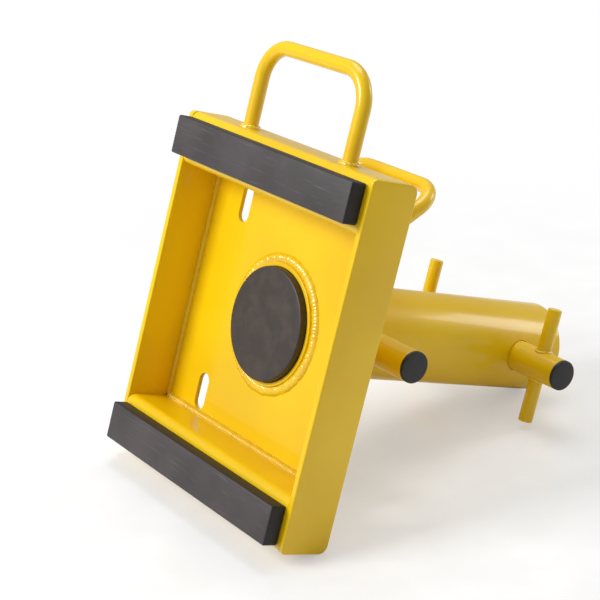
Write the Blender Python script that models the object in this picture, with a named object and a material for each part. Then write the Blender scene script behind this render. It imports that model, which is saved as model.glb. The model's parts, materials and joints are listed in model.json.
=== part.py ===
"""Rope lowering bollard: a welded steel back frame that straps to a trunk, with a rope drum.

The frame is two square tubes joined by two side plates and a back panel. Rubber strips on the
tubes face the trunk. A hub carries the rope drum, and two cross tubes pass through the drum: the
inner one is welded in, the outer one slides until one of its cleat bars meets the drum.

Device frame: X across the frame, Y from the trunk side (0 at the front of the square tubes)
back along the drum, Z along the frame's height, 0 at the drum's axis. The finished device is
then laid down as it rests by itself: on the frame's lower back edge and on the drum's end.
"""

import math

import bmesh
import bpy
from mathutils import Matrix, Vector

# ---- driving dimensions, in metres ----
FRAME_HEIGHT = 0.330
FRAME_WIDTH = 0.284
FRAME_TUBE = 0.050          # side of the square tubes, and the frame's depth
FRAME_TUBE_WALL = 0.004
FRAME_TUBE_RADIUS = 0.008
SIDE_PLATE = 0.006
SIDE_PLATE_FRONT_RADIUS = 0.005
PANEL = 0.004
PLATE_BEVEL = 0.0008

LEFT_SLOTS = 0.084          # from the drum's axis to the slots' centre line, on each side
RIGHT_SLOTS = 0.098
SLOT_WIDTH = 0.016
SLOT_LENGTH = 0.036
SLOT_TO_TUBE = 0.004

STRIP_HEIGHT = 0.036
STRIP_THICKNESS = 0.0155
STRIP_END_GAP = 0.001
STRIP_BELOW_EDGE = 0.0055   # from the frame's outer edge to the strip
STRIP_BEVEL = 0.0008

HUB_WALL = 0.004
HUB_PROUD = 0.004           # how far the hub stands out in front of the back panel
HUB_LENGTH = 0.052
HUB_RING = 0.008            # length of the rings that hold the drum in the hub
HUB_RING_WALL = 0.0081
HUB_CAP_PROUD = 0.007
HUB_CAP_SKIN = 0.005
HUB_CAP_DEPTH = 0.019
HUB_CAP_CHAMFER = 0.0012

DRUM_DIAMETER = 0.0889
DRUM_WALL = 0.004
DRUM_END = 0.377            # the drum's far end, from the front of the square tubes
DRUM_END_DISC = 0.005
DRUM_END_INSET = 0.002
DRUM_END_CHAMFER = 0.0006

CROSS_DIAMETER = 0.030
CROSS_WALL = 0.0025
INNER_CROSS_LENGTH = 0.220
INNER_CROSS_FROM_HUB = 0.015 # between the hub's back and the inner cross tube
OUTER_CROSS_LENGTH = 0.238
OUTER_CROSS_TO_END = 0.055  # from the outer cross tube's axis to the drum's end
OUTER_CROSS_REST = -0.016   # where the sliding tube's middle lies along X
SLIDE_CLEARANCE = 0.0005
CAP_HEAD = 0.004
CAP_STEM = 0.012
CAP_CHAMFER = 0.0009

BAR_DIAMETER = 0.014
CLEAT_LENGTH = 0.115
CLEAT_FROM_END = 0.029      # from the cross tube's end to the cleat bar's axis
CLEAT_CHAMFER = 0.0008

HANDLE_SPAN = 0.152
HANDLE_HEIGHT = 0.079       # from the frame's top to the bar's axis
HANDLE_BEND = 0.032

LOOP_SPAN = 0.130
LOOP_REACH = 0.124          # length of the loop's legs
LOOP_RISE = math.radians(40.0)
LOOP_FOOT = 0.042           # from the frame's top tube down to the legs' axes
LOOP_BEND = 0.028

GAP = 0.0003                # left between pieces that are welded, bonded or pressed together
CUT_PAST = 0.004            # how far a cutter runs past the wall it goes through, each way
CUTTER_CHAMFER = 0.0001
SLOT_CROWN = 0.00001        # half of the flat left where a slot end's two quarters meet
MERGE = 1e-6
SMOOTH_BELOW = math.radians(35.0)
BEVEL_ABOVE = math.radians(60.0)

ROUND_LARGE = 64
ROUND_TUBE = 40
ROUND_BAR = 24
CORNER_STEPS = 6
BEND_STEPS = 9

# ---- places that follow ----
HALF_HEIGHT = FRAME_HEIGHT / 2
HALF_WIDTH = FRAME_WIDTH / 2
INNER_HALF_WIDTH = HALF_WIDTH - SIDE_PLATE
TUBE_MIDDLE = HALF_HEIGHT - FRAME_TUBE / 2
BAY_HALF_HEIGHT = HALF_HEIGHT - FRAME_TUBE
PANEL_FRONT = FRAME_TUBE - PANEL
HUB_FRONT = PANEL_FRONT - HUB_PROUD
HUB_BACK = HUB_FRONT + HUB_LENGTH
DRUM_RADIUS = DRUM_DIAMETER / 2
HUB_FIT = DRUM_RADIUS + GAP + HUB_RING_WALL     # radius of the rings and the cap in the hub
HUB_BORE = HUB_FIT + GAP
HUB_RADIUS = HUB_BORE + HUB_WALL
INNER_CROSS_PLACE = HUB_BACK + INNER_CROSS_FROM_HUB + CROSS_DIAMETER / 2
DRUM_FRONT = HUB_FRONT + HUB_CAP_DEPTH + GAP
OUTER_CROSS_PLACE = DRUM_END - OUTER_CROSS_TO_END
CLEAT_PLACE = OUTER_CROSS_LENGTH / 2 - CLEAT_FROM_END

PAINT = ("yellow_paint", (0.90, 0.53, 0.015), 0.28, 0.0)
RUBBER = ("black_rubber", (0.030, 0.027, 0.027), 0.75, 0.0)
PLASTIC = ("black_plastic", (0.020, 0.019, 0.020), 0.50, 0.0)


def material(spec):
    """The Principled material of one finish, made once."""
    name, colour, roughness, metallic = spec
    made = bpy.data.materials.get(name)
    if made is None:
        made = bpy.data.materials.new(name)
        made.use_nodes = True
        shader = made.node_tree.nodes["Principled BSDF"]
        shader.inputs["Base Color"].default_value = (*colour, 1.0)
        shader.inputs["Roughness"].default_value = roughness
        shader.inputs["Metallic"].default_value = metallic
    return made


def empty(name, parent=None, location=(0, 0, 0)):
    """A parent that carries pieces and isn't one itself."""
    made = bpy.data.objects.new(name, None)
    bpy.context.collection.objects.link(made)
    made.parent = parent
    made.location = location
    return made


def piece(name, bm, finish, parent, location=(0, 0, 0)):
    """One named solid from a bmesh, shaded smooth with its corners kept sharp."""
    bmesh.ops.recalc_face_normals(bm, faces=bm.faces)
    mesh = bpy.data.meshes.new(name)
    bm.to_mesh(mesh)
    bm.free()
    mesh.materials.append(material(finish))
    mesh.shade_smooth()
    mesh.set_sharp_from_angle(angle=SMOOTH_BELOW)
    made = bpy.data.objects.new(name, mesh)
    bpy.context.collection.objects.link(made)
    made.parent = parent
    made.location = location
    return made


def round_corner(centre, radius, start, steps=CORNER_STEPS):
    """The points of a quarter turn about centre, from the angle start."""
    angles = (start + math.pi / 2 * step / steps for step in range(steps + 1))
    return [(centre[0] + radius * math.cos(a), centre[1] + radius * math.sin(a)) for a in angles]


def rounded_outline(width, height, radii):
    """A rectangle about the origin, with one corner radius for each quadrant, from +,+ round."""
    outline = []
    for turn, (side, rise) in enumerate(((1, 1), (-1, 1), (-1, -1), (1, -1))):
        radius = radii[turn]
        centre = (side * (width / 2 - radius), rise * (height / 2 - radius))
        outline += round_corner(centre, radius, turn * math.pi / 2)
    return outline


def extruded(outlines, length):
    """A prism along X, centred on it, from one closed outline in Y and Z and any holes in it."""
    bm = bmesh.new()
    edges = []
    for outline in outlines:
        loop = [bm.verts.new((-length / 2, y, z)) for y, z in outline]
        edges += [bm.edges.new((a, b)) for a, b in zip(loop, loop[1:] + loop[:1])]
    bmesh.ops.triangle_fill(bm, use_beauty=True, edges=edges)
    grown = bmesh.ops.extrude_face_region(bm, geom=list(bm.faces))
    moved = [item for item in grown["geom"] if isinstance(item, bmesh.types.BMVert)]
    bmesh.ops.translate(bm, vec=(length, 0, 0), verts=moved)
    return bm


def turned(profile, axis, rounds, closed=True):
    """A solid of revolution about a device axis, from (radius, place along the axis) points."""
    bm = bmesh.new()
    verts = [bm.verts.new((0, along, radius)) for radius, along in profile]
    edges = [bm.edges.new(pair) for pair in zip(verts, verts[1:])]
    if closed:
        edges.append(bm.edges.new((verts[-1], verts[0])))
    bmesh.ops.spin(bm, geom=verts + edges, axis=(0, 1, 0), cent=(0, 0, 0),
                   angle=2 * math.pi, steps=rounds)
    bmesh.ops.remove_doubles(bm, verts=bm.verts, dist=MERGE)
    turns = {"X": Matrix.Rotation(-math.pi / 2, 3, "Z"), "Y": Matrix.Identity(3),
             "Z": Matrix.Rotation(math.pi / 2, 3, "X")}
    bmesh.ops.rotate(bm, cent=(0, 0, 0), matrix=turns[axis], verts=bm.verts)
    return bm


def tube(outer, wall, length, axis, rounds):
    """A round tube centred on the origin."""
    inner = outer - wall
    half = length / 2
    return turned([(inner, -half), (outer, -half), (outer, half), (inner, half)], axis, rounds)


def rod(radius, length, chamfer, axis, rounds):
    """A solid round bar centred on the origin, with chamfered ends."""
    half = length / 2
    profile = [(0, -half), (radius - chamfer, -half), (radius, -half + chamfer),
               (radius, half - chamfer), (radius - chamfer, half), (0, half)]
    return turned(profile, axis, rounds, closed=False)


def cut(target, name, bm, location=(0, 0, 0)):
    """Cuts a hidden cutter out of target."""
    cutter = piece(name, bm, PAINT, target.parent, location)
    cutter.hide_render = True
    cutter.display_type = "WIRE"
    boolean = target.modifiers.new(name, "BOOLEAN")
    boolean.operation = "DIFFERENCE"
    boolean.solver = "EXACT"
    boolean.object = cutter


def bevel(target, width):
    """Breaks the sharp edges of a flat piece."""
    edge = target.modifiers.new("edge", "BEVEL")
    edge.width = width
    edge.segments = 2
    edge.limit_method = "ANGLE"
    edge.angle_limit = BEVEL_ABOVE


def bent_bar(name, span, reach, bend, parent, location, rise):
    """A round bar bent to a U: legs reach from the origin along rise, span apart along X."""
    along = Vector((0, math.cos(rise), math.sin(rise)))
    route = [(-span / 2, 0.0)]
    for side, start in ((-1, math.pi), (1, math.pi / 2)):
        for step in range(BEND_STEPS + 1):
            angle = start - math.pi / 2 * step / BEND_STEPS
            route.append((side * (span / 2 - bend) + bend * math.cos(angle),
                          reach - bend + bend * math.sin(angle)))
    route.append((span / 2, 0.0))
    curve = bpy.data.curves.new(name, "CURVE")
    curve.dimensions = "3D"
    curve.bevel_depth = BAR_DIAMETER / 2
    curve.bevel_resolution = ROUND_BAR // 2 - 2
    curve.use_fill_caps = True
    spline = curve.splines.new("POLY")
    spline.points.add(len(route) - 1)
    for point, (across, out) in zip(spline.points, route):
        point.co = (*(Vector((across, 0, 0)) + out * along), 1.0)
    curve.materials.append(material(PAINT))
    bar = bpy.data.objects.new(name, curve)
    bpy.context.collection.objects.link(bar)
    bar.parent = parent
    bar.location = location
    return bar


# ---- the back frame ----

def frame_tubes(device):
    """The square tubes across the top and the bottom."""
    radius = FRAME_TUBE_RADIUS
    outer = rounded_outline(FRAME_TUBE, FRAME_TUBE, [radius] * 4)
    bore = FRAME_TUBE - 2 * FRAME_TUBE_WALL
    inner = rounded_outline(bore, bore, [radius - FRAME_TUBE_WALL] * 4)
    for name, side in (("top_frame_tube", 1), ("bottom_frame_tube", -1)):
        bm = extruded([outer, inner], 2 * (INNER_HALF_WIDTH - GAP))
        piece(name, bm, PAINT, device, (0, FRAME_TUBE / 2, side * TUBE_MIDDLE))


def side_plates(device):
    """The flat plates that close the tubes' ends."""
    back = FRAME_TUBE_RADIUS
    front = SIDE_PLATE_FRONT_RADIUS
    outline = rounded_outline(FRAME_TUBE, FRAME_HEIGHT, [back, front, front, back])
    for name, side in (("side_plate_left", -1), ("side_plate_right", 1)):
        plate = piece(name, extruded([outline], SIDE_PLATE), PAINT, device,
                      (side * (HALF_WIDTH - SIDE_PLATE / 2), FRAME_TUBE / 2, 0))
        bevel(plate, PLATE_BEVEL)


def slot_places():
    """The name and centre of each strap slot."""
    rise = BAY_HALF_HEIGHT - SLOT_TO_TUBE - SLOT_LENGTH / 2
    return [(f"{level}_{hand}_slot_cut", (across, up * rise))
            for level, up in (("upper", 1), ("lower", -1))
            for hand, across in (("left", -LEFT_SLOTS), ("right", RIGHT_SLOTS))]


def back_panel(device):
    """The panel between the tubes, with four strap slots and the hub's hole."""
    size = (2 * (INNER_HALF_WIDTH - GAP), PANEL, 2 * (BAY_HALF_HEIGHT - GAP))
    bm = bmesh.new()
    bmesh.ops.create_cube(bm, size=1.0)
    bmesh.ops.scale(bm, vec=size, verts=bm.verts)
    middle = PANEL_FRONT + PANEL / 2
    panel = piece("back_panel", bm, PAINT, device, (0, middle, 0))
    through = PANEL + 2 * CUT_PAST
    hub_hole = rod(HUB_RADIUS + GAP, through, CUTTER_CHAMFER, "Y", ROUND_LARGE)
    cut(panel, "hub_hole_cut", hub_hole, (0, middle, 0))
    for name, (across, up) in slot_places():
        outline = rounded_outline(SLOT_WIDTH, SLOT_LENGTH, [SLOT_WIDTH / 2 - SLOT_CROWN] * 4)
        slot = extruded([outline], through)
        bmesh.ops.rotate(slot, cent=(0, 0, 0), matrix=Matrix.Rotation(math.pi / 2, 3, "Z"),
                         verts=slot.verts)
        cut(panel, name, slot, (across, middle, up))


def rubber_strips(device):
    """The strips bonded to the front of the square tubes."""
    middle = HALF_HEIGHT - STRIP_BELOW_EDGE - STRIP_HEIGHT / 2
    length = 2 * (INNER_HALF_WIDTH - STRIP_END_GAP)
    for name, side in (("top_rubber_strip", 1), ("bottom_rubber_strip", -1)):
        bm = bmesh.new()
        bmesh.ops.create_cube(bm, size=1.0)
        bmesh.ops.scale(bm, vec=(length, STRIP_THICKNESS, STRIP_HEIGHT), verts=bm.verts)
        strip = piece(name, bm, RUBBER, device,
                      (0, -GAP - STRIP_THICKNESS / 2, side * middle))
        bevel(strip, STRIP_BEVEL)


# ---- the hub and the drum ----

def hub(device):
    """The hub tube through the back panel, the rings that hold the drum in it, and its cap."""
    piece("hub_tube", tube(HUB_RADIUS, HUB_WALL, HUB_LENGTH, "Y", ROUND_LARGE), PAINT,
          device, (0, HUB_FRONT + HUB_LENGTH / 2, 0))
    for name, place in (("hub_front_ring", DRUM_FRONT + HUB_RING / 2),
                        ("hub_rear_ring", HUB_BACK - HUB_RING / 2)):
        piece(name, tube(HUB_FIT, HUB_RING_WALL, HUB_RING, "Y", ROUND_LARGE), PAINT, device,
              (0, place, 0))
    face = -HUB_CAP_PROUD
    inside = HUB_FIT - HUB_CAP_SKIN
    profile = [(0, face), (HUB_FIT - HUB_CAP_CHAMFER, face), (HUB_FIT, face + HUB_CAP_CHAMFER),
               (HUB_FIT, HUB_CAP_DEPTH), (inside, HUB_CAP_DEPTH),
               (inside, face + HUB_CAP_SKIN), (0, face + HUB_CAP_SKIN)]
    piece("hub_cap", turned(profile, "Y", ROUND_LARGE, closed=False), PLASTIC, device,
          (0, HUB_FRONT, 0))


def drum(device):
    """The rope drum, with the cross tubes' holes, and the disc welded in its far end."""
    length = DRUM_END - DRUM_FRONT
    drum_tube = piece("drum_tube", tube(DRUM_RADIUS, DRUM_WALL, length, "Y", ROUND_LARGE),
                      PAINT, device, (0, DRUM_FRONT + length / 2, 0))
    for name, place, clearance in (("inner_cross_cut", INNER_CROSS_PLACE, GAP),
                                   ("outer_cross_cut", OUTER_CROSS_PLACE, SLIDE_CLEARANCE)):
        hole = rod(CROSS_DIAMETER / 2 + clearance, DRUM_DIAMETER + 2 * CUT_PAST,
                   CUTTER_CHAMFER, "X", ROUND_TUBE)
        cut(drum_tube, name, hole, (0, place, 0))
    disc = rod(DRUM_RADIUS - DRUM_WALL - GAP, DRUM_END_DISC, DRUM_END_CHAMFER, "Y", ROUND_LARGE)
    piece("drum_end_disc", disc, PAINT, device,
          (0, DRUM_END - DRUM_END_INSET - DRUM_END_DISC / 2, 0))


# ---- the cross tubes ----

def cross_tube(name, length, parent):
    """A round tube along X with a plastic cap pressed in each end."""
    body = piece(name, tube(CROSS_DIAMETER / 2, CROSS_WALL, length, "X", ROUND_TUBE), PAINT,
                 parent)
    head = CROSS_DIAMETER / 2
    stem = head - CROSS_WALL - GAP
    profile = [(0, -CAP_STEM), (stem, -CAP_STEM), (stem, GAP), (head, GAP),
               (head, CAP_HEAD - CAP_CHAMFER), (head - CAP_CHAMFER, CAP_HEAD), (0, CAP_HEAD)]
    for hand, side in (("left", -1), ("right", 1)):
        bm = turned(profile, "X", ROUND_TUBE, closed=False)
        if side < 0:
            bmesh.ops.rotate(bm, cent=(0, 0, 0), matrix=Matrix.Rotation(math.pi, 3, "Z"),
                             verts=bm.verts)
        piece(f"{name}_cap_{hand}", bm, PLASTIC, parent, (side * length / 2, 0, 0))
    return body


def inner_cross(device):
    """The cross tube welded through the drum near the hub."""
    cross_tube("inner_cross_tube", INNER_CROSS_LENGTH,
               empty("inner_cross", device, (0, INNER_CROSS_PLACE, 0)))


def outer_cross(device):
    """The sliding cross tube, with the two cleat bars that keep it in the drum."""
    carrier = empty("outer_cross", device, (OUTER_CROSS_REST, OUTER_CROSS_PLACE, 0))
    body = cross_tube("outer_cross_tube", OUTER_CROSS_LENGTH, carrier)
    for hand, side in (("left", -1), ("right", 1)):
        place = (side * CLEAT_PLACE, 0, 0)
        hole = rod(BAR_DIAMETER / 2 + GAP, CROSS_DIAMETER + 2 * CUT_PAST, CUTTER_CHAMFER, "Z",
                   ROUND_BAR)
        cut(body, f"cleat_{hand}_cut", hole, place)
        piece(f"cleat_bar_{hand}", rod(BAR_DIAMETER / 2, CLEAT_LENGTH, CLEAT_CHAMFER, "Z",
                                       ROUND_BAR), PAINT, carrier, place)


# ---- the bent bars ----

def bent_bars(device):
    """The carrying handle on top, and the loop behind that leads the rope to the drum."""
    bent_bar("carry_handle", HANDLE_SPAN, HANDLE_HEIGHT - GAP, HANDLE_BEND, device,
             (0, FRAME_TUBE / 2, HALF_HEIGHT + GAP), math.pi / 2)
    foot = GAP + BAR_DIAMETER / 2 * math.tan(LOOP_RISE)
    bent_bar("rope_loop", LOOP_SPAN, LOOP_REACH - foot, LOOP_BEND, device,
             (0, FRAME_TUBE + foot * math.cos(LOOP_RISE),
              BAY_HALF_HEIGHT - LOOP_FOOT + foot * math.sin(LOOP_RISE)), LOOP_RISE)


# ---- how it rests ----

def resting_lean():
    """How far the frame leans back when its lower back corner and the drum's end touch down."""
    corner = Vector((FRAME_TUBE - FRAME_TUBE_RADIUS, -HALF_HEIGHT + FRAME_TUBE_RADIUS))
    to_rim = Vector((DRUM_END, -DRUM_RADIUS)) - corner
    return math.atan2(to_rim.y, to_rim.x) + math.asin(FRAME_TUBE_RADIUS / to_rim.length)


def lay_down(device):
    """Leans the device back and puts the origin under the middle of its box, on the ground."""
    device.rotation_euler = (-resting_lean(), 0, 0)
    bpy.context.view_layer.update()
    depsgraph = bpy.context.evaluated_depsgraph_get()
    low = Vector((math.inf,) * 3)
    high = -low
    for made in bpy.data.objects:
        if made.hide_render or made.type == "EMPTY":
            continue
        solid = made.evaluated_get(depsgraph)
        mesh = solid.to_mesh()
        for vertex in mesh.vertices:
            place = solid.matrix_world @ vertex.co
            low = Vector(map(min, low, place))
            high = Vector(map(max, high, place))
        solid.to_mesh_clear()
    device.location = (-(low.x + high.x) / 2, -(low.y + high.y) / 2, -low.z)


def main():
    for old in list(bpy.data.objects):
        bpy.data.objects.remove(old)
    device = empty("device")
    frame_tubes(device)
    side_plates(device)
    back_panel(device)
    rubber_strips(device)
    hub(device)
    drum(device)
    inner_cross(device)
    outer_cross(device)
    bent_bars(device)
    lay_down(device)


main()
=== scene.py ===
# %% [markdown]
# A rope lowering bollard: a boxed steel back frame that straps to a trunk, and a drum that a
# rope is wound round to let a load down slowly. The solids of the construction come in as a
# fixed frame. This notebook gives each of them its finished surface: rounded edges, weld beads,
# powder coat, rubber and moulded plastic.

# %% Load the frame
import json
import math
import random

import bmesh
import bpy
from mathutils import Matrix, Vector


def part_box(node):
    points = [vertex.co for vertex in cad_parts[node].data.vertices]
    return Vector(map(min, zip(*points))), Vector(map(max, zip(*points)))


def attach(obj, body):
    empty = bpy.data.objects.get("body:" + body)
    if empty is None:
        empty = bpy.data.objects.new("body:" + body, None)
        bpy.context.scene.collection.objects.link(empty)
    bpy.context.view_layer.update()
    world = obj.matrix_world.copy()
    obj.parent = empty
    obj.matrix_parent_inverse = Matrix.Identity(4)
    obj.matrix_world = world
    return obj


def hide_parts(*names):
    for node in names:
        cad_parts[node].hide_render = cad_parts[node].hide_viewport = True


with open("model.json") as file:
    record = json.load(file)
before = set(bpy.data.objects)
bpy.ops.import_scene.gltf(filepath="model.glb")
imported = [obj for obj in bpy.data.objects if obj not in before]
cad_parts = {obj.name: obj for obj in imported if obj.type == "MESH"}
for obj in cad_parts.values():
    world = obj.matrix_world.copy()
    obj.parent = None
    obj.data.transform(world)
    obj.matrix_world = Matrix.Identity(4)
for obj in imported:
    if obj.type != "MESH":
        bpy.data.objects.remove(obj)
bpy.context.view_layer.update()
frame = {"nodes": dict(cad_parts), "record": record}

# %% [markdown]
# The device lies leaning back, so its own axes are turned from the world's. Both cross tubes run
# along X, which makes the middle of each one's box a true point of the drum's axis. Two such
# points give the drum's direction, and with it a matrix from the device's own axes to the world.

# %% The device's own axes


def middle(node):
    """The centre of a node's box."""
    low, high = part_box(node)
    return (Vector(low) + Vector(high)) / 2


def axes_at(origin, back):
    """The matrix of axes with X across, Y along back and Z upwards, placed at origin."""
    across = Vector((1, 0, 0))
    turned = Matrix((across, back, across.cross(back))).transposed().to_4x4()
    return Matrix.Translation(origin) @ turned


def span_of(node):
    """A node's lowest and highest corner along the device's own axes."""
    points = [to_device @ vertex.co for vertex in frame["nodes"][node].data.vertices]
    return tuple(Vector(pick(point[axis] for point in points) for axis in range(3))
                 for pick in (min, max))


drum_back = middle("outer_cross_tube") - middle("inner_cross_tube")
drum_back.x = 0
drum_back.normalize()
axis_point = middle("inner_cross_tube")
to_device = axes_at(axis_point, drum_back).inverted()
front_of_tubes = span_of("top_frame_tube")[0].y
device = axes_at(axis_point + front_of_tubes * drum_back, drum_back)
to_device = device.inverted()
spans = {name: span_of(name) for name in frame["nodes"]}
print("lean of the frame:", round(math.degrees(math.asin(-drum_back.z)), 2), "degrees")

# %% [markdown]
# Shader maths reads best as plain arithmetic. This small class wraps an output socket, so that
# mask * 0.3 + 0.2 builds the Math nodes by itself. Colours go through Mix nodes, because a Math
# node would turn them grey.

# %% Shader expressions


class Value:
    """An output socket that can be used in Python arithmetic."""

    def __init__(self, tree, socket):
        self.tree = tree
        self.socket = socket

    def maths(self, operation, *terms):
        return self.tree.add("ShaderNodeMath", {"operation": operation}, list(terms))

    def __add__(self, other):
        return self.maths("ADD", self, other)

    def __mul__(self, other):
        return self.maths("MULTIPLY", self, other)

    __radd__ = __add__
    __rmul__ = __mul__

    def stepped(self, low, high):
        """0 below low, 1 above high, smooth between."""
        settings = {"interpolation_type": "SMOOTHSTEP"}
        return self.tree.add("ShaderNodeMapRange", settings,
                             {"Value": self, "From Min": low, "From Max": high})


class Tree:
    """A material's node tree."""

    def __init__(self, name):
        self.material = bpy.data.materials.new(name)
        self.material.use_nodes = True
        self.nodes = self.material.node_tree.nodes
        self.links = self.material.node_tree.links
        self.shader = self.nodes["Principled BSDF"]

    def plug(self, socket, value):
        if isinstance(value, Value):
            self.links.new(value.socket, socket)
        else:
            socket.default_value = value

    def add(self, kind, settings=None, inputs=None, output=0):
        """A node with its settings and its sockets' values or links, as the Value it gives."""
        node = self.nodes.new(kind)
        for name, setting in (settings or {}).items():
            setattr(node, name, setting)
        pairs = enumerate(inputs) if isinstance(inputs, list) else (inputs or {}).items()
        for key, value in pairs:
            self.plug(node.inputs[key], value)
        return Value(self, node.outputs[output])

    def place(self, scale=(1, 1, 1)):
        """Object coordinates along the device's own axes, stretched by scale."""
        where = self.add("ShaderNodeTexCoord", output=3)
        lean = math.asin(-drum_back.z)
        return self.add("ShaderNodeMapping", {},
                        {"Vector": where, "Rotation": (lean, 0, 0), "Scale": scale})

    def noise(self, vector, scale, detail=3.0, roughness=0.5):
        return self.add("ShaderNodeTexNoise", {},
                        {"Vector": vector, "Scale": scale, "Detail": detail,
                         "Roughness": roughness})

    def mixed(self, factor, first, second):
        node = self.nodes.new("ShaderNodeMix")
        node.data_type = "RGBA"
        self.plug(node.inputs["Factor"], factor)
        colours = [socket for socket in node.inputs if socket.type == "RGBA"]
        for socket, value in zip(colours, (first, second)):
            self.plug(socket, value)
        out = next(socket for socket in node.outputs if socket.type == "RGBA")
        return Value(self, out)

    def bump(self, height, distance, strength=1.0, normal=None):
        inputs = {"Height": height, "Distance": distance, "Strength": strength}
        if normal is not None:
            inputs["Normal"] = normal
        return self.add("ShaderNodeBump", {}, inputs)

    def finish(self, **sockets):
        for name, value in sockets.items():
            self.plug(self.shader.inputs[name.replace("_", " ")], value)
        return self.material


def colour(red, green, blue):
    """A linear colour from the usual 0 to 255 values."""
    parts = (value / 255 for value in (red, green, blue))
    linear = (p / 12.92 if p <= 0.04045 else ((p + 0.055) / 1.055) ** 2.4 for p in parts)
    return (*linear, 1.0)


# %% [markdown]
# Powder coat is baked plastic powder. It flows into a glossy skin that is never quite flat: it
# keeps a fine orange peel about 2 mm across and, over ground steel, a wave of a few centimetres.
# The gloss sits in a clear top layer, so the coat has its own low roughness, while the colour
# under it drifts a little with the thickness of the powder.

# %% Yellow powder coat


def powder_coat():
    tree = Tree("yellow_powder_coat")
    place = tree.place()
    drift = tree.noise(place, 9.0, detail=4.0)
    speck = tree.noise(place, 420.0, detail=2.0)
    base = tree.mixed(drift.stepped(0.35, 0.70), colour(228, 186, 2), colour(237, 196, 4))
    base = tree.mixed(speck.stepped(0.66, 0.80) * 0.20, base, colour(196, 146, 10))
    peel = tree.noise(place, 460.0, detail=1.5)
    wave = tree.noise(place, 26.0, detail=2.0)
    surface = tree.bump(wave, 0.00045, 0.5)
    surface = tree.bump(peel, 0.00005, 0.6, surface)
    smear = tree.noise(place, 34.0, detail=5.0, roughness=0.62)
    return tree.finish(Base_Color=base, Roughness=smear * 0.16 + 0.24, Coat_Weight=0.30,
                       Coat_Roughness=0.07, Specular_IOR_Level=0.36, Normal=surface)




def coated_weld():
    """The same coat over weld metal, whose ripple and spatter it doesn't hide."""
    tree = Tree("yellow_coated_weld")
    place = tree.place()
    drift = tree.noise(place, 60.0, detail=3.0)
    spatter = tree.noise(place, 330.0, detail=4.0, roughness=0.7)
    base = tree.mixed(drift.stepped(0.3, 0.7), colour(226, 184, 2), colour(238, 198, 6))
    surface = tree.bump(spatter, 0.0007, 0.6)
    return tree.finish(Base_Color=base, Roughness=drift * 0.15 + 0.14, Coat_Weight=0.8,
                       Coat_Roughness=0.05, Normal=surface)


paint = powder_coat()
weld_paint = coated_weld()
print("paint:", paint.name, weld_paint.name)

# %% [markdown]
# The strips are cut from extruded rubber sheet. Their sawn ends stay deep black, while the faces
# are dulled by handling and carry faint lines along the length, where the die dragged. So the
# strips take two materials: a black one, and a greyer one on the front face that meets the bark,
# greyer partly from dust and partly as a painted sheen from the front light.

# %% Rubber


def rubber(name, dark, worn, dust):
    tree = Tree(name)
    along = tree.place((0.05, 1.0, 1.0))
    fine = tree.place()
    drag = tree.noise(along, 520.0, detail=3.0)
    blotch = tree.noise(fine, 16.0, detail=5.0, roughness=0.6)
    grain = tree.noise(fine, 1500.0, detail=2.0)
    base = tree.mixed(blotch.stepped(0.30, 0.72), dark, worn)
    base = tree.mixed(drag.stepped(0.55, 0.80) * dust, base, colour(128, 124, 124))
    surface = tree.bump(drag, 0.00012, 0.5)
    surface = tree.bump(grain, 0.00004, 0.6, surface)
    return tree.finish(Base_Color=base, Roughness=blotch * 0.2 + 0.48, Normal=surface)


rubber_black = rubber("rubber_black", colour(14, 13, 13), colour(24, 22, 22), 0.06)
# The front face's material is lighter overall: partly dust, partly a painted sheen of the front
# light.
rubber_dust_and_sheen = rubber("rubber_front_dust_and_sheen", colour(50, 45, 46), colour(68, 61, 62), 0.22)

# %% [markdown]
# The caps are moulded polyethylene. A spark-eroded mould leaves a fine even grain that takes the
# shine off, and handling polishes the middle of each face a little.

# %% Moulded plastic


def moulded(name, dark, worn):
    tree = Tree(name)
    place = tree.place()
    grain = tree.noise(place, 1900.0, detail=2.0)
    scuff = tree.noise(place, 70.0, detail=5.0, roughness=0.65)
    base = tree.mixed(scuff.stepped(0.42, 0.75), dark, worn)
    surface = tree.bump(grain, 0.00005, 0.7)
    return tree.finish(Base_Color=base, Roughness=scuff * 0.22 + 0.36, Normal=surface)


plastic = moulded("cap_plastic", colour(26, 26, 28), colour(40, 39, 42))
hub_plastic = moulded("hub_cap_plastic", colour(50, 42, 37), colour(66, 55, 48))

# %% [markdown]
# Every finished piece goes through one function. It turns the mesh from the device's axes into
# the world, keeps the object itself at the origin, shades it smooth up to a corner angle, hides
# the solids that it stands for, and puts it on the body that carries it.

# %% Finish a piece

SHARP = math.radians(38.0)
GAP = 0.0003        # between solids that are welded or pressed together
BODY_OF_OUTER = "outer_cross"


def body_of(node):
    """The body that carries a node."""
    bodies = frame["record"]["behaviour"]["bodies"]
    return next(body for body, members in bodies.items() if node in members)


def finish_piece(name, bm, materials, body, nodes):
    """A piece from a bmesh in the device's own axes."""
    bmesh.ops.remove_doubles(bm, verts=bm.verts, dist=1e-6)
    bmesh.ops.recalc_face_normals(bm, faces=bm.faces)
    bmesh.ops.transform(bm, matrix=device, verts=bm.verts)
    mesh = bpy.data.meshes.new(name)
    bm.to_mesh(mesh)
    bm.free()
    for item in materials:
        mesh.materials.append(item)
    mesh.shade_smooth()
    mesh.set_sharp_from_angle(angle=SHARP)
    piece = bpy.data.objects.new(name, mesh)
    bpy.context.scene.collection.objects.link(piece)
    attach(piece, body)
    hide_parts(*nodes)
    print(f"{name}: {len(mesh.polygons)} faces")
    return piece


def edges_along(bm, axis):
    """The edges that run along one of the device's axes."""
    found = []
    for edge in bm.edges:
        run = edge.verts[1].co - edge.verts[0].co
        if abs(run[axis]) > 0.999 * run.length:
            found.append(edge)
    return found


def rounded(bm, edges, radius, segments):
    """Rounds edges to a radius."""
    bmesh.ops.bevel(bm, geom=edges, offset=radius, segments=segments, profile=0.5,
                    affect="EDGES", material=-1, clamp_overlap=True)


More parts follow.
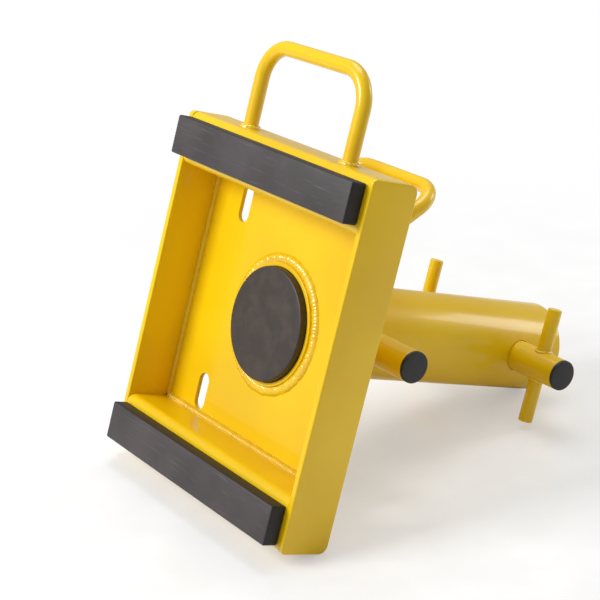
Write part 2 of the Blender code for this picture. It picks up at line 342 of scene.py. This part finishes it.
def block(low, high):
    """A box between two corners."""
    bm = bmesh.new()
    bmesh.ops.create_cube(bm, size=1.0)
    bmesh.ops.scale(bm, vec=high - low, verts=bm.verts)
    bmesh.ops.translate(bm, vec=(low + high) / 2, verts=bm.verts)
    return bm


# %% [markdown]
# A square tube is folded and welded from strip, so its long corners are round. A box gets its
# four long edges bevelled to that radius, loses its two ends, and gets its wall from solidify.

# %% Square tubes

TUBE_WALL = 0.004
TUBE_RADIUS = 0.008
CORNER_SEGMENTS = 10

for node in ("top_frame_tube", "bottom_frame_tube"):
    bm = block(*spans[node])
    ends = [face for face in bm.faces if abs(face.normal.x) > 0.9]
    bmesh.ops.delete(bm, geom=ends, context="FACES_ONLY")
    rounded(bm, edges_along(bm, 0), TUBE_RADIUS, CORNER_SEGMENTS)
    bmesh.ops.recalc_face_normals(bm, faces=bm.faces)
    bmesh.ops.solidify(bm, geom=bm.faces, thickness=TUBE_WALL)
    finish_piece(node.replace("tube", "box"), bm, [paint], body_of(node), [node])

# %% [markdown]
# The side plates are cut from 6 mm plate. Their corners follow the square tubes, a little
# tighter at the front. All their edges are broken with a file before coating, because powder
# won't hold on a sharp edge, and that narrow round is what catches the light.

# %% Side plates

PLATE_FRONT_RADIUS = 0.005
PLATE_BACK_RADIUS = 0.008
PLATE_EDGE = 0.0009

for node in ("side_plate_left", "side_plate_right"):
    low, high = spans[node]
    bm = block(low, high)
    for place, radius in ((low.y, PLATE_FRONT_RADIUS), (high.y, PLATE_BACK_RADIUS)):
        corners = [edge for edge in edges_along(bm, 0)
                   if abs(edge.verts[0].co.y - place) < 1e-5]
        rounded(bm, corners, radius, CORNER_SEGMENTS)
    rims = [edge for edge in bm.edges if edge.calc_face_angle() > math.radians(60)]
    rounded(bm, rims, PLATE_EDGE, 3)
    finish_piece(node.replace("side_plate", "end_plate"), bm, [paint],
                 body_of(node), [node])

# %% [markdown]
# The back panel is plasma cut: a hole for the hub and four strap slots with round ends. Its
# outline is a flat face with holes, filled between closed loops, then given its thickness. A
# slot's loop is a circle whose upper and lower halves are pulled apart.

# %% Back panel

LEFT_SLOTS = -0.084
RIGHT_SLOTS = 0.098
SLOT_WIDTH = 0.016
SLOT_LENGTH = 0.036
SLOT_TO_TUBE = 0.004
PANEL_EDGE = 0.0006


def loop_of(bm, radius, across, up, segments, stretch=0.0):
    """A closed loop in the panel's plane: a circle, or a slot if it is stretched along Z."""
    ring = bmesh.ops.create_circle(bm, cap_ends=False, radius=radius, segments=segments,
                                   matrix=Matrix.Rotation(math.pi / 2, 4, "X"))["verts"]
    for side in (1, -1):
        half = [vert for vert in ring if side * vert.co.z > 1e-7]
        bmesh.ops.translate(bm, vec=(0, 0, side * stretch / 2), verts=half)
    bmesh.ops.translate(bm, vec=(across, 0, up), verts=ring)


low, high = spans["back_panel"]
hub_radius = spans["hub_tube"][1].x
bm = bmesh.new()
bmesh.ops.create_grid(bm, x_segments=1, y_segments=1, size=0.5,
                      matrix=Matrix.Rotation(math.pi / 2, 4, "X"))
bmesh.ops.delete(bm, geom=list(bm.faces), context="FACES_ONLY")
bmesh.ops.scale(bm, vec=high - low, verts=bm.verts)
loop_of(bm, hub_radius + GAP, 0, 0, 128)
slot_rise = high.z + GAP - SLOT_TO_TUBE - SLOT_LENGTH / 2
for across in (LEFT_SLOTS, RIGHT_SLOTS):
    for level in (1, -1):
        loop_of(bm, SLOT_WIDTH / 2, across, level * slot_rise, 34, SLOT_LENGTH - SLOT_WIDTH)
bmesh.ops.triangle_fill(bm, use_beauty=True, edges=list(bm.edges))
bmesh.ops.dissolve_limit(bm, angle_limit=0.01, verts=list(bm.verts), edges=list(bm.edges))
grown = bmesh.ops.extrude_face_region(bm, geom=list(bm.faces))["geom"]
far_side = [item for item in grown if isinstance(item, bmesh.types.BMVert)]
bmesh.ops.translate(bm, vec=(0, high.y - low.y, 0), verts=far_side)
bmesh.ops.translate(bm, vec=(0, low.y, 0), verts=bm.verts)
bmesh.ops.triangulate(bm, faces=[face for face in bm.faces if len(face.verts) > 4])
finish_piece("slotted_panel", bm, [paint], body_of("back_panel"),
             ["back_panel"])

# %% [markdown]
# The strips meet the bark. Their long edges are rubbed round, and a face's material index picks
# the greyer finish for the front face: partly dust, partly a painted sheen from the front light.

# %% Rubber strips

STRIP_EDGE = 0.0018

for node in ("top_rubber_strip", "bottom_rubber_strip"):
    bm = block(*spans[node])
    rounded(bm, list(bm.edges), STRIP_EDGE, 4)
    bm.normal_update()
    for face in bm.faces:
        # faces turned to the front, toward the camera and the front light, take the dust and
        # painted sheen
        face.material_index = 1 if face.normal.y < -0.6 else 0
    finish_piece(node.replace("rubber_strip", "bark_strip"), bm, [rubber_black, rubber_dust_and_sheen],
                 body_of(node), [node])

# %% [markdown]
# Hub, rings, drum, cross tubes, bars and caps are all turned shapes: a half outline spun about an
# axis. An outline that starts and ends on the axis gives a solid, and a closed one gives a tube.
# A round on a corner is a few points of a quarter circle.

# %% Turned shapes


def corner(radius, along, size, start, steps=5):
    """A quarter round of an outline, from the angle start, about (radius, along)."""
    angles = (math.radians(start + 90 * step / steps) for step in range(steps + 1))
    return [(radius + size * math.cos(a), along + size * math.sin(a)) for a in angles]


def turned(outline, axis, rounds, centre, closed):
    """Spins (radius, along) points about one of the device's axes."""
    bm = bmesh.new()
    verts = [bm.verts.new((radius, 0, along)) for radius, along in outline]
    edges = [bm.edges.new(pair) for pair in zip(verts, verts[1:])]
    if closed:
        edges.append(bm.edges.new((verts[-1], verts[0])))
    bmesh.ops.spin(bm, geom=verts + edges, axis=(0, 0, 1), cent=(0, 0, 0),
                   angle=2 * math.pi, steps=rounds, use_merge=True)
    turns = {0: Matrix.Rotation(math.pi / 2, 4, "Y"), 1: Matrix.Rotation(-math.pi / 2, 4, "X"),
             2: Matrix.Identity(4)}
    bmesh.ops.transform(bm, matrix=Matrix.Translation(centre) @ turns[axis], verts=bm.verts)
    return bm


def ring(outer, bore, low, high, edge):
    """The outline of a tube with rounded rims."""
    return (corner(outer - edge, high - edge, edge, 0) + corner(bore + edge, high - edge, edge, 90)
            + corner(bore + edge, low + edge, edge, 180)
            + corner(outer - edge, low + edge, edge, 270))


HUB_WALL = 0.004
DRUM_WALL = 0.004
CROSS_WALL = 0.0025
RIM_EDGE = 0.0008
ROUNDS = 160


def round_piece(name, node, wall, axis, edge=RIM_EDGE, rounds=ROUNDS):
    """A tube that fills a node's span."""
    low, high = spans[node]
    side = 2 if axis != 2 else 0
    radius = (high - low)[side] / 2
    centre = (low + high) / 2
    half = (high - low)[axis] / 2
    outline = ring(radius, radius - wall, -half, half, edge)
    return turned(outline, axis, rounds, centre, True)


bm = round_piece("hub", "hub_tube", HUB_WALL, 1)
finish_piece("hub_sleeve", bm, [paint], body_of("hub_tube"), ["hub_tube"])
drum_radius = (spans["drum_tube"][1] - spans["drum_tube"][0]).x / 2
ring_wall = spans["hub_rear_ring"][1].x - drum_radius - GAP
for node in ("hub_front_ring", "hub_rear_ring"):
    bm = round_piece(node, node, ring_wall, 1, edge=0.0005)
    finish_piece(node.replace("ring", "collar"), bm, [paint], body_of(node),
                 [node])

# %% [markdown]
# The drum has four holes for the cross tubes. Booleans are exact but leave live modifiers, so
# the result is read back into a plain mesh and the cutters are deleted. The outer pair of holes
# is a running fit: a dark hairline shows round the sliding tube.

# %% Drum

SLIDE_CLEARANCE = 0.0005


def drilled(bm, drills):
    """The bmesh with each (bmesh) drill cut out of it."""
    target = bpy.data.objects.new("blank", bpy.data.meshes.new("blank"))
    bmesh.ops.recalc_face_normals(bm, faces=bm.faces)
    bm.to_mesh(target.data)
    bm.free()
    bpy.context.scene.collection.objects.link(target)
    cutters = []
    for drill in drills:
        cutter = bpy.data.objects.new("drill", bpy.data.meshes.new("drill"))
        bmesh.ops.recalc_face_normals(drill, faces=drill.faces)
        drill.to_mesh(cutter.data)
        drill.free()
        bpy.context.scene.collection.objects.link(cutter)
        cutters.append(cutter)
        boolean = target.modifiers.new("drill", "BOOLEAN")
        boolean.operation = "DIFFERENCE"
        boolean.solver = "EXACT"
        boolean.object = cutter
    bpy.context.view_layer.update()
    result = bmesh.new()
    result.from_object(target, bpy.context.evaluated_depsgraph_get())
    for old in [target, *cutters]:
        bpy.data.objects.remove(old)
    return result


def bar_outline(radius, half, edge):
    """The outline of a solid bar with rounded ends."""
    return ([(0, -half)] + corner(radius - edge, -half + edge, edge, 270)
            + corner(radius - edge, half - edge, edge, 0) + [(0, half)])


cross_radius = (spans["outer_cross_tube"][1] - spans["outer_cross_tube"][0]).z / 2
drills = []
for node, clearance in (("inner_cross_tube", GAP),
                        ("outer_cross_tube", SLIDE_CLEARANCE)):
    low, high = spans[node]
    place = Vector((0, (low.y + high.y) / 2, 0))
    outline = bar_outline(cross_radius + clearance, 1.6 * drum_radius, 0.001)
    drills.append(turned(outline, 0, 72, place, False))
bm = drilled(round_piece("drum", "drum_tube", DRUM_WALL, 1, edge=0.0011), drills)
finish_piece("rope_drum", bm, [paint], body_of("drum_tube"), ["drum_tube"])

low, high = spans["drum_end_disc"]
bm = turned(bar_outline((high - low).x / 2, (high - low).y / 2, 0.0007), 1, ROUNDS,
            (low + high) / 2, False)
finish_piece("end_disc", bm, [paint], body_of("drum_end_disc"),
             ["drum_end_disc"])

# %% Cross tubes and cleat bars

for node, name in (("inner_cross_tube", "inner_horns"), ("outer_cross_tube", "outer_horns")):
    bm = round_piece(name, node, CROSS_WALL, 0, edge=0.0005, rounds=96)
    finish_piece(name, bm, [paint], body_of(node), [node])

BAR_EDGE = 0.0011
for node in ("cleat_bar_left", "cleat_bar_right"):
    low, high = spans[node]
    bm = turned(bar_outline((high - low).x / 2, (high - low).z / 2, BAR_EDGE), 2, 56,
                (low + high) / 2, False)
    finish_piece(node.replace("bar", "rod"), bm, [paint], body_of(node), [node])

# %% [markdown]
# A cap is a disc with a stem that is pushed into the tube's end. Its face is crowned by a few
# tenths of a millimetre and its rim is round. The hub's cap is a deep cup of the same kind: its
# face stands proud of the hub and is left bare.

# %% Caps

CROSS_CAP_HEAD = 0.004
CAP_CROWN = 0.0005
CAP_EDGE = 0.0014
HUB_CAP_EDGE = 0.0017
HUB_CAP_SKIN = 0.005


def crowned(radius, face, edge, crown, steps=6):
    """Outline points from the axis out over a crowned face and round its rim."""
    flat = radius - edge
    dome = [(flat * step / steps, face - crown * (step / steps) ** 2) for step in range(steps)]
    rim = corner(flat, face - crown - edge, edge, 0)
    return dome + rim[::-1]


for cross in ("inner", "outer"):
    for hand, side in (("left", -1), ("right", 1)):
        node = f"{cross}_cross_tube_cap_{hand}"
        low, high = spans[node]
        stem = cross_radius - CROSS_WALL - GAP
        depth = (high - low).x
        seat = depth - CROSS_CAP_HEAD + GAP
        outline = (crowned(cross_radius, depth, CAP_EDGE, CAP_CROWN)
                   + [(cross_radius, seat), (stem, seat), (stem, 0.001), (stem - 0.001, 0),
                      (0, 0)])
        start = Vector((low.x if side > 0 else high.x, (low.y + high.y) / 2,
                        (low.z + high.z) / 2))
        bm = turned(outline, 0, 96, (0, 0, 0), False)
        if side < 0:
            bmesh.ops.rotate(bm, cent=(0, 0, 0), matrix=Matrix.Rotation(math.pi, 3, "Z"),
                             verts=bm.verts)
        bmesh.ops.translate(bm, vec=start, verts=bm.verts)
        finish_piece(f"{cross}_end_cap_{hand}", bm, [plastic], body_of(node),
                     [node])

low, high = spans["hub_cap"]
radius = (high - low).x / 2
inside = radius - HUB_CAP_SKIN
depth = (high - low).y
outline = (crowned(radius, depth, HUB_CAP_EDGE, 0.0003)
           + [(radius, 0), (inside, 0), (inside, depth - HUB_CAP_SKIN), (0, depth - HUB_CAP_SKIN)])
bm = turned(outline, 1, ROUNDS, (0, 0, 0), False)
bmesh.ops.rotate(bm, cent=(0, 0, 0), matrix=Matrix.Rotation(math.pi, 3, "X"), verts=bm.verts)
bmesh.ops.translate(bm, vec=(0, high.y, 0), verts=bm.verts)
finish_piece("hub_face_cap", bm, [hub_plastic], body_of("hub_cap"), ["hub_cap"])

# %% [markdown]
# Handle and loop are bent from round bar. The bar's circle is extruded up one leg, spun through
# the bend, extruded across, spun again and extruded down: the same path that it takes through
# the bender.

# %% Bent bars

LOOP_RISE = math.radians(40.0)
HANDLE_BEND = 0.032
LOOP_BEND = 0.028
bar_radius = (spans["cleat_bar_left"][1] - spans["cleat_bar_left"][0]).x / 2


def bent_bar(span, reach, bend):
    """A U of round bar in the X, Z plane, with its feet at Z = 0."""
    bm = bmesh.new()
    start = bmesh.ops.create_circle(bm, cap_ends=True, radius=bar_radius, segments=40)["verts"]
    bmesh.ops.translate(bm, vec=(-span / 2, 0, 0), verts=start)
    front = list(bm.edges)

    def straight(front, run):
        geom = bmesh.ops.extrude_edge_only(bm, edges=front)["geom"]
        verts = [item for item in geom if isinstance(item, bmesh.types.BMVert)]
        bmesh.ops.translate(bm, vec=run, verts=verts)
        return [item for item in geom if isinstance(item, bmesh.types.BMEdge)
                and all(vert in verts for vert in item.verts)]

    def turn(front, centre):
        geom = bmesh.ops.spin(bm, geom=front, axis=(0, 1, 0), cent=centre,
                              angle=math.pi / 2, steps=18)["geom_last"]
        return [item for item in geom if isinstance(item, bmesh.types.BMEdge)]

    front = straight(front, (0, 0, reach - bend))
    front = turn(front, (-span / 2 + bend, 0, reach - bend))
    front = straight(front, (span - 2 * bend, 0, 0))
    front = turn(front, (span / 2 - bend, 0, reach - bend))
    front = straight(front, (0, 0, bend - reach))
    bmesh.ops.contextual_create(bm, geom=front)
    return bm


low, high = spans["carry_handle"]
handle_span = (high - low).x - 2 * bar_radius
bm = bent_bar(handle_span, high.z - low.z - bar_radius, HANDLE_BEND)
bmesh.ops.translate(bm, vec=(0, (low.y + high.y) / 2, low.z), verts=bm.verts)
finish_piece("bent_handle", bm, [paint], body_of("carry_handle"),
             ["carry_handle"])

low, high = spans["rope_loop"]
loop_span = (high - low).x - 2 * bar_radius
tip = Vector((0, high.y - bar_radius, high.z - bar_radius))
loop_foot = Vector((0, low.y + bar_radius * math.sin(LOOP_RISE),
                    low.z + bar_radius * math.cos(LOOP_RISE)))
bm = bent_bar(loop_span, (tip - loop_foot).length, LOOP_BEND)
bmesh.ops.rotate(bm, cent=(0, 0, 0), matrix=Matrix.Rotation(LOOP_RISE - math.pi / 2, 3, "X"),
                 verts=bm.verts)
bmesh.ops.translate(bm, vec=loop_foot, verts=bm.verts)
finish_piece("bent_rope_loop", bm, [paint], body_of("rope_loop"), ["rope_loop"])

# %% [markdown]
# A weld bead is a string of overlapping puddles. Here it is a poly curve along the seam whose
# radius swells once for each puddle, with a little unevenness from a seeded random order, so
# that it is the same each run. Powder coat softens the ripple, so the swell stays small. Half of
# the bead lies inside the two pieces that it joins.

# %% Weld beads

PUDDLE = 0.0030
POINTS_PER_PUDDLE = 5
uneven = random.Random(7)


def weld(name, route, size, body, closed=False, ripple=0.09, finish=None):
    """A bead along a list of points in the device's own axes."""
    points = [Vector(point) for point in route]
    if closed:
        points.append(points[0])
    lengths = [(b - a).length for a, b in zip(points, points[1:])]
    puddles = max(4, round(sum(lengths) / PUDDLE))
    count = puddles * POINTS_PER_PUDDLE
    swell = [uneven.uniform(0.93, 1.07) for _ in range(puddles + 1)]
    curve = bpy.data.curves.new(name, "CURVE")
    curve.dimensions = "3D"
    curve.bevel_depth = size
    curve.bevel_resolution = 3
    curve.use_fill_caps = not closed
    spline = curve.splines.new("POLY")
    spline.use_cyclic_u = closed
    total = count if closed else count + 1
    spline.points.add(total - 1)
    run = sum(lengths)
    for index, point in enumerate(spline.points):
        at = run * index / count
        piece = 0
        while piece < len(lengths) - 1 and at > lengths[piece]:
            at -= lengths[piece]
            piece += 1
        place = points[piece].lerp(points[piece + 1], min(1.0, at / lengths[piece]))
        phase = index / POINTS_PER_PUDDLE
        puddle = int(phase) % puddles
        after = (puddle + 1) % puddles if closed else min(puddle + 1, puddles)
        blend = phase - int(phase)
        width = swell[puddle] * (1 - blend) + swell[after] * blend
        point.co = (*(device @ place), 1.0)
        point.radius = width * (1 - ripple * (0.5 + 0.5 * math.cos(2 * math.pi * blend)))
    curve.materials.append(finish or weld_paint)
    bead = bpy.data.objects.new(name, curve)
    bpy.context.scene.collection.objects.link(bead)
    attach(bead, body)
    return bead


def circle(radius, centre, normal, steps=96, squash=1.0):
    """Points of a ring about a device axis, 0 to 2. squash stretches it along Z."""
    first, second = {0: (1, 2), 1: (0, 2), 2: (0, 1)}[normal]
    points = []
    for step in range(steps):
        angle = 2 * math.pi * step / steps
        point = Vector(centre)
        point[first] += radius * math.cos(angle)
        point[second] += radius * squash * math.sin(angle)
        points.append(point)
    return points


def saddle(radius, host_radius, centre, side, along, round_axis, steps=64):
    """The seam where a bar of some radius along one axis enters a round host."""
    first, second = [axis for axis in range(3) if axis != along]
    points = []
    for step in range(steps):
        angle = 2 * math.pi * step / steps
        offset = {first: radius * math.cos(angle), second: radius * math.sin(angle)}
        across = offset[next(axis for axis in offset if axis != round_axis)]
        point = Vector(centre)
        point[first] += offset[first]
        point[second] += offset[second]
        point[along] += side * math.sqrt(host_radius ** 2 - across ** 2)
        points.append(point)
    return points


HUB_BACK_WELD = 0.0042
HUB_DRUM_WELD = 0.0034
COLLAR_WELD = 0.0020
END_DISC_WELD = 0.0018
HORN_WELD = 0.0032
CLEAT_WELD = 0.0019
HANDLE_WELD = 0.0031
LOOP_WELD = 0.0030

frame_body = body_of("back_panel")
panel_low, panel_high = spans["back_panel"]
hub_low, hub_high = spans["hub_tube"]
HUB_FILLET = 0.0068
weld("weld_hub_front", circle(hub_radius + HUB_FILLET / 2, (0, panel_low.y + HUB_FILLET / 2, 0), 1),
     HUB_FILLET, frame_body, True, ripple=0.05)
weld("weld_hub_back", circle(hub_radius, (0, panel_high.y, 0), 1), HUB_BACK_WELD, frame_body,
     True)
weld("weld_hub_drum", circle(drum_radius, (0, hub_high.y, 0), 1), HUB_DRUM_WELD, frame_body, True)
weld("weld_hub_collar", circle(hub_radius - HUB_WALL, (0, hub_high.y - 0.0008, 0), 1), COLLAR_WELD,
     frame_body, True)
end_low, end_high = spans["drum_end_disc"]
weld("weld_end_disc", circle(end_high.x, (0, end_high.y, 0), 1), END_DISC_WELD, frame_body, True)

cross_low, cross_high = spans["inner_cross_tube"]
cross_place = (0, (cross_low.y + cross_high.y) / 2, 0)
for hand, side in (("left", -1), ("right", 1)):
    weld(f"weld_inner_horn_{hand}",
         saddle(cross_radius, drum_radius, cross_place, side, 0, 1), HORN_WELD, frame_body,
         True)

for hand in ("left", "right"):
    low, high = spans[f"cleat_bar_{hand}"]
    for level, side in (("lower", -1), ("upper", 1)):
        route = saddle(bar_radius, cross_radius, (low + high) / 2, side, 2, 0)
        weld(f"weld_cleat_{hand}_{level}", route, CLEAT_WELD, BODY_OF_OUTER, True)

handle_low, handle_high = spans["carry_handle"]
loop_low, loop_high = spans["rope_loop"]
stretch = 1 / math.cos(LOOP_RISE)
for hand, side in (("left", -1), ("right", 1)):
    foot = (side * handle_span / 2, (handle_low.y + handle_high.y) / 2, handle_low.z)
    weld(f"weld_handle_{hand}", circle(bar_radius, foot, 2, 48), HANDLE_WELD, frame_body,
         True)
    foot = (side * loop_span / 2, panel_high.y,
            loop_foot.z - (loop_foot.y - panel_high.y) * math.tan(LOOP_RISE))
    weld(f"weld_loop_{hand}", circle(bar_radius, foot, 1, 48, stretch), LOOP_WELD, frame_body,
         True)

# %% [markdown]
# The long seams inside the frame are straight runs. The lower one is left rough, and the others
# are smooth under the coat. The seams outside, where the plates close the tubes, are dressed
# nearly flush and follow the tube's rounded outline.

# %% Frame seams

SEAM = 0.0034
CORNER_REACH = 0.002
seam_x = panel_high.x
bay = panel_high.z
weld("weld_panel_bottom", [(-seam_x + CORNER_REACH, panel_low.y, -bay),
                           (seam_x, panel_low.y, -bay)], 1.3 * SEAM, frame_body, ripple=0.30)
weld("weld_panel_top", [(-seam_x, panel_low.y, bay), (seam_x, panel_low.y, bay)], SEAM,
     frame_body, ripple=0.04, finish=paint)
for hand, side in (("left", -1), ("right", 1)):
    weld(f"weld_panel_{hand}", [(side * seam_x, panel_low.y, -bay + CORNER_REACH),
                                (side * seam_x, panel_low.y, bay)], SEAM, frame_body,
         ripple=0.04, finish=paint)


DRESSED = 0.0011
SUNK = 0.0012


def tube_outline(low, high, steps=6):
    """The points round a square tube, just under its outside, in Y and Z."""
    low = low + Vector((0, SUNK, SUNK))
    high = high - Vector((0, SUNK, SUNK))
    radius = TUBE_RADIUS - SUNK
    centres = [(high.y, high.z, 0), (low.y, high.z, 90), (low.y, low.z, 180), (high.y, low.z, 270)]
    points = []
    for y, z, start in centres:
        inward_y = -1 if y == high.y else 1
        inward_z = -1 if z == high.z else 1
        points += corner(y + inward_y * radius, z + inward_z * radius, radius, start, steps)
    return points


for level in ("top", "bottom"):
    low, high = spans[f"{level}_frame_tube"]
    for hand, side in (("left", -1), ("right", 1)):
        route = [(side * high.x, y, z) for y, z in tube_outline(low, high)]
        weld(f"weld_{level}_tube_{hand}", route, DRESSED, frame_body, True, ripple=0.03,
             finish=paint)

# %% [markdown]
# The floor is a glossy white sheet under soft light. It keeps the object's shadow and a blurred
# reflection, and fades to the white of the background further out. To the camera it also glows
# white, at 38% next to the device: a painted glow that lightens the floor and the device's shadow.

# %% Floor and background

FLOOR_SIZE = 6.0


def white_floor():
    tree = Tree("white_floor")
    where = tree.add("ShaderNodeTexCoord", output=3)
    mottle = tree.noise(where, 14.0, detail=4.0)
    tint = tree.mixed(mottle.stepped(0.3, 0.8), colour(236, 236, 236), colour(246, 246, 246))
    tree.finish(Base_Color=tint, Roughness=0.22)
    tree.shader.inputs["Specular IOR Level"].default_value = 0.45
    distance = tree.add("ShaderNodeVectorMath", {"operation": "LENGTH"}, [where], output=1)
    camera = tree.add("ShaderNodeLightPath")
    glow = tree.nodes.new("ShaderNodeEmission")
    glow.inputs["Color"].default_value = (1, 1, 1, 1)
    mix = tree.nodes.new("ShaderNodeMixShader")
    # painted glow for camera rays: 38% white next to the device, lightening its shadow, up to full
    # white from 0.9 m out
    tree.plug(mix.inputs[0], camera * (distance.stepped(0.25, 0.90) * 0.62 + 0.38))
    tree.links.new(tree.shader.outputs[0], mix.inputs[1])
    tree.links.new(glow.outputs[0], mix.inputs[2])
    tree.links.new(mix.outputs[0], tree.nodes["Material Output"].inputs["Surface"])
    return tree.material


bm = bmesh.new()
bmesh.ops.create_grid(bm, x_segments=1, y_segments=1, size=FLOOR_SIZE / 2)
mesh = bpy.data.meshes.new("floor")
bm.to_mesh(mesh)
bm.free()
mesh.materials.append(white_floor())
floor = bpy.data.objects.new("floor", mesh)
bpy.context.scene.collection.objects.link(floor)

world = bpy.context.scene.world or bpy.data.worlds.new("studio")
bpy.context.scene.world = world
world.use_nodes = True
nodes = world.node_tree.nodes
links = world.node_tree.links
room = nodes["Background"]
room.inputs["Color"].default_value = (1, 1, 1, 1)
room.inputs["Strength"].default_value = 0.41
white = nodes.new("ShaderNodeBackground")
white.inputs["Color"].default_value = (1, 1, 1, 1)
white.inputs["Strength"].default_value = 1.0
ray = nodes.new("ShaderNodeLightPath")
mix = nodes.new("ShaderNodeMixShader")
links.new(ray.outputs["Is Camera Ray"], mix.inputs[0])
links.new(room.outputs[0], mix.inputs[1])
links.new(white.outputs[0], mix.inputs[2])
links.new(mix.outputs[0], nodes["World Output"].inputs["Surface"])

# %% [markdown]
# Two soft boxes light the device: a large one above and in front, a little to the left, and one
# behind on the right that draws bright rims along the bars. The room's own light fills the rest.

# %% Lights


def soft_box(name, place, aim, size, power):
    light = bpy.data.lights.new(name, "AREA")
    light.shape = "SQUARE"
    light.size = size
    light.energy = power
    lamp = bpy.data.objects.new(name, light)
    bpy.context.scene.collection.objects.link(lamp)
    lamp.location = place
    lamp.rotation_euler = (Vector(aim) - Vector(place)).to_track_quat("-Z", "Y").to_euler()
    return lamp


aim = (0.0, 0.0, 0.16)
soft_box("front_box", (-0.7, -1.9, 1.6), aim, 1.0, 51.0)
soft_box("top_box", (-0.5, 0.5, 2.2), aim, 1.2, 20.0)
soft_box("back_box", (0.5, 2.2, 0.75), aim, 0.8, 11.0)

# %% [markdown]
# The camera looks down at the front from the right with a long lens, and is held very slightly
# askew.

# %% Camera

CAMERA_TARGET = Vector((-0.0181, -0.0646, 0.1610))
CAMERA_DISTANCE = 1.606
CAMERA_AZIMUTH = math.radians(55.8)
CAMERA_ELEVATION = math.radians(22.3)
CAMERA_ROLL = math.radians(-2.84)
LENS = 103.5

away = Vector((math.sin(CAMERA_AZIMUTH) * math.cos(CAMERA_ELEVATION),
               -math.cos(CAMERA_AZIMUTH) * math.cos(CAMERA_ELEVATION),
               math.sin(CAMERA_ELEVATION)))
lens = bpy.data.cameras.new("camera")
lens.lens = LENS
camera = bpy.data.objects.new("camera", lens)
bpy.context.scene.collection.objects.link(camera)
camera.location = CAMERA_TARGET + CAMERA_DISTANCE * away
turn = (-away).to_track_quat("-Z", "Y").to_matrix() @ Matrix.Rotation(CAMERA_ROLL, 3, "Z")
camera.rotation_euler = turn.to_euler()
bpy.context.scene.camera = camera
bpy.context.scene.view_settings.view_transform = "Standard"
